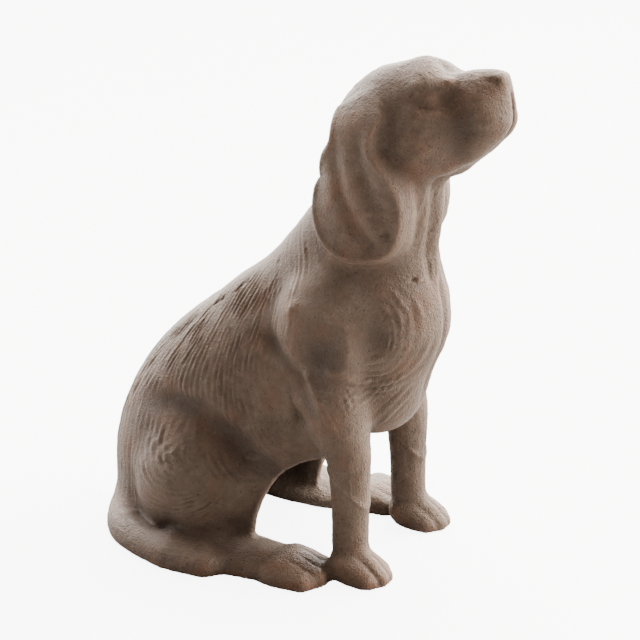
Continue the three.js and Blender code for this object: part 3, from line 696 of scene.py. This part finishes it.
class Tree:
    """A node tree that is filled one node at a time."""

    def __init__(self, tree):
        self.tree = tree

    def node(self, kind, inputs=(), **settings):
        made = self.tree.nodes.new(kind)
        for name, value in settings.items():
            setattr(made, name, value)
        for name, value in dict(inputs).items():
            if isinstance(value, bpy.types.NodeSocket):
                self.tree.links.new(value, made.inputs[name])
            else:
                made.inputs[name].default_value = value
        return made

    def math(self, operation, a, b=0.0, clamp=False):
        return self.node("ShaderNodeMath", {0: a, 1: b}, operation=operation, use_clamp=clamp).outputs[0]

    def mixed(self, share, a, b, blend="MIX"):
        made = self.node("ShaderNodeMix", {0: share, 6: a, 7: b}, data_type="RGBA", blend_type=blend)
        return made.outputs[2]

    def stretched(self, value, low, high, to_low=0.0, to_high=1.0):
        made = self.node("ShaderNodeMapRange", {0: value, 1: low, 2: high, 3: to_low, 4: to_high})
        return made.outputs[0]

    def grains(self, place, scale, detail=2.0, rough=0.5):
        made = self.node("ShaderNodeTexNoise",
                         {"Vector": place, "Scale": scale, "Detail": detail, "Roughness": rough})
        return made.outputs["Fac"]

    def attribute(self, name):
        return self.node("ShaderNodeAttribute", attribute_name=name).outputs["Fac"]


def new_group(name, takes, gives):
    """An empty shader group with its named sockets: {name: (kind, default)} in, {name: kind} out."""
    group = bpy.data.node_groups.new(name, "ShaderNodeTree")
    for socket, (kind, default) in takes.items():
        made = group.interface.new_socket(socket, in_out="INPUT", socket_type=kind)
        if default is not None:
            made.default_value = default
    for socket, kind in gives.items():
        group.interface.new_socket(socket, in_out="OUTPUT", socket_type=kind)
    tree = Tree(group)
    return group, tree, tree.node("NodeGroupInput").outputs, tree.node("NodeGroupOutput").inputs


def sand_cast_group():
    """Height of the grain that moulding sand leaves on iron: pits, lumps and a fine tooth."""
    group, t, takes, gives = new_group(
        "sand_cast_grain",
        {"Vector": ("NodeSocketVector", None), "Coarse": ("NodeSocketFloat", 1.0),
         "Fine": ("NodeSocketFloat", 1.0)},
        {"Height": "NodeSocketFloat", "Pits": "NodeSocketFloat"})
    lumps = t.grains(takes["Vector"], 560.0, 3.0, 0.6)
    tooth = t.grains(takes["Vector"], 1300.0, 2.0, 0.6)
    pits = t.node("ShaderNodeTexVoronoi", {"Vector": takes["Vector"], "Scale": 230.0}).outputs["Distance"]
    holes = t.stretched(pits, 0.08, 0.20, 1.0, 0.0)
    height = t.math("ADD", t.math("MULTIPLY", lumps, takes["Coarse"]),
                    t.math("MULTIPLY", tooth, takes["Fine"]))
    height = t.math("SUBTRACT", height, t.math("MULTIPLY", holes, 0.5))
    group.links.new(height, gives["Height"])
    group.links.new(holes, gives["Pits"])
    return group


def rusted_iron():
    """Brown oiled iron: dark in the grooves and hollows with dark oxide and painted shade, copper red where
    it is handled, dusty grey between, and with painted light inside the shell.
    """
    material = bpy.data.materials.new("rusted_iron")
    material.use_nodes = True
    t = Tree(material.node_tree)
    t.tree.nodes.clear()
    place = t.node("ShaderNodeTexCoord").outputs["Object"]
    grain = t.node("ShaderNodeGroup", node_tree=sand_cast_group())
    t.tree.links.new(place, grain.inputs["Vector"])
    grain.inputs["Coarse"].default_value = 1.0
    grain.inputs["Fine"].default_value = 0.45

    proud, crest, outer = (t.attribute(name) for name in ("proud", "crest", "outer"))
    clouds = t.grains(place, 26.0, 4.0, 0.6)
    patches = t.grains(place, 60.0, 4.0, 0.65)
    speckle = t.grains(place, 520.0, 3.0, 0.7)

    base = t.mixed(t.stretched(clouds, 0.35, 0.65), IRON_DARK, IRON_LIGHT)
    dust = t.math("MULTIPLY", t.stretched(patches, 0.42, 0.68), t.stretched(speckle, 0.35, 0.62))
    base = t.mixed(t.math("MULTIPLY", dust, 0.55), base, DUST)
    worn = t.stretched(proud, 0.08, 0.45)
    base = t.mixed(t.math("MULTIPLY", worn, 0.45), base, WORN)
    edges = t.math("MULTIPLY", t.stretched(crest, 0.5, 2.2), t.stretched(patches, 0.38, 0.60))
    blushes = t.grains(place, 34.0, 3.0, 0.55)
    red = t.math("ADD", t.math("MULTIPLY", edges, 0.7),
                 t.math("MULTIPLY", t.stretched(blushes, 0.48, 0.70), 0.5), True)
    base = t.mixed(red, base, RUST)
    # Grooves and hollows are darkened: dark oxide, and painted shade where the hollows lie in shadow.
    dark = t.math("MAXIMUM", t.stretched(proud, -0.10, -0.55), t.stretched(crest, -0.5, -3.0, 0.0, 0.8))
    patchy_patina_and_shade = t.stretched(patches, 0.3, 0.6, 0.5, 0.95)
    dark = t.math("MAXIMUM", dark, t.math("MULTIPLY", t.attribute("hollow"), patchy_patina_and_shade))
    base = t.mixed(t.math("MULTIPLY", dark, 0.65), base, PATINA_AND_SHADE)
    base = t.mixed(t.math("MULTIPLY", grain.outputs["Pits"], 0.5), base, PIT)
    # Painted light: the inside of the shell is made lighter than the outside.
    base = t.mixed(t.stretched(outer, 1.0, 0.0, 0.0, 0.9), base, INSIDE_PAINTED_LIGHT)

    rough = t.stretched(speckle, 0.3, 0.7, 0.50, 0.72)
    rough = t.math("SUBTRACT", rough, t.math("MULTIPLY", worn, 0.10))
    bump = t.node("ShaderNodeBump",
                  {"Height": grain.outputs["Height"], "Strength": 0.8, "Distance": GRAIN_HEIGHT})
    iron = t.node("ShaderNodeBsdfPrincipled",
                  {"Base Color": base, "Roughness": rough, "Metallic": 0.25, "Normal": bump.outputs[0],
                   "Specular IOR Level": 0.3, "Sheen Weight": 0.06, "Sheen Roughness": 0.35,
                   "Sheen Tint": SHEEN})
    output = t.node("ShaderNodeOutputMaterial")
    t.tree.links.new(iron.outputs[0], output.inputs["Surface"])
    return material


def white_paper():
    """Paper that the picture shows as bright white, but that throws little light back on the dog."""
    material = bpy.data.materials.new("white_paper")
    material.use_nodes = True
    t = Tree(material.node_tree)
    t.tree.nodes.clear()
    seen = t.node("ShaderNodeLightPath").outputs["Is Camera Ray"]
    paper = t.node("ShaderNodeBsdfPrincipled",
                   {"Base Color": (PAPER_SHADE, PAPER_SHADE, PAPER_SHADE, 1), "Roughness": 1.0,
                    "Specular IOR Level": 0.0, "Emission Color": (1, 1, 1, 1),
                    "Emission Strength": t.math("MULTIPLY", seen, PAPER_GLOW)})
    output = t.node("ShaderNodeOutputMaterial")
    t.tree.links.new(paper.outputs[0], output.inputs["Surface"])
    return material


# Studio


def make_floor():
    mesh = bpy.data.meshes.new("floor")
    corners = [(FLOOR_HALF * i, FLOOR_HALF * j, 0) for i, j in ((-1, -1), (1, -1), (1, 1), (-1, 1))]
    mesh.from_pydata(corners, [], [(0, 1, 2, 3)])
    floor = bpy.data.objects.new("floor", mesh)
    floor.location.z = -FLOOR_DROP
    mesh.materials.append(white_paper())
    bpy.context.scene.collection.objects.link(floor)


def soft_box(name, place, size, power):
    light = bpy.data.lights.new(name, "AREA")
    light.shape = "RECTANGLE"
    light.size = light.size_y = size
    light.energy = power
    light.color = LAMP_COLOUR
    lamp = bpy.data.objects.new(name, light)
    lamp.location = place
    lamp.rotation_euler = (Vector(LAMP_AIM) - Vector(place)).to_track_quat("-Z", "Y").to_euler()
    bpy.context.scene.collection.objects.link(lamp)


def light_studio():
    """A white light tent that is open, and so darker, on the right side of the dog."""
    world = bpy.data.worlds.new("light_tent")
    world.use_nodes = True
    t = Tree(world.node_tree)
    background = t.tree.nodes["Background"]
    way = t.node("ShaderNodeTexCoord").outputs["Generated"]
    facing = t.node("ShaderNodeVectorMath", {0: way, 1: TENT_FACING}, operation="DOT_PRODUCT")
    strength = t.stretched(facing.outputs["Value"], -0.65, 0.15, TENT_BRIGHT, TENT_OPENING)
    t.tree.links.new(strength, background.inputs["Strength"])
    background.inputs["Color"].default_value = TENT_COLOUR
    bpy.context.scene.world = world
    soft_box("top_light", TOP_PLACE, TOP_SIZE, TOP_POWER)
    soft_box("right_light", SIDE_PLACE, SIDE_SIZE, SIDE_POWER)


def set_camera():
    camera = bpy.data.cameras.new("camera")
    camera.sensor_width = SENSOR
    camera.lens = FOCAL_PIXELS / PICTURE_PIXELS * SENSOR
    eye = bpy.data.objects.new("camera", camera)
    eye.location = CAMERA_PLACE
    eye.rotation_euler = (Vector(CAMERA_AIM) - Vector(CAMERA_PLACE)).to_track_quat("-Z", "Y").to_euler()
    bpy.context.scene.collection.objects.link(eye)
    bpy.context.scene.camera = eye


set_camera()
make_floor()
light_studio()

dog = cast_dog()
dog.data.materials.append(rusted_iron())
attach(dog, "root")
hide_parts("dog_casting")
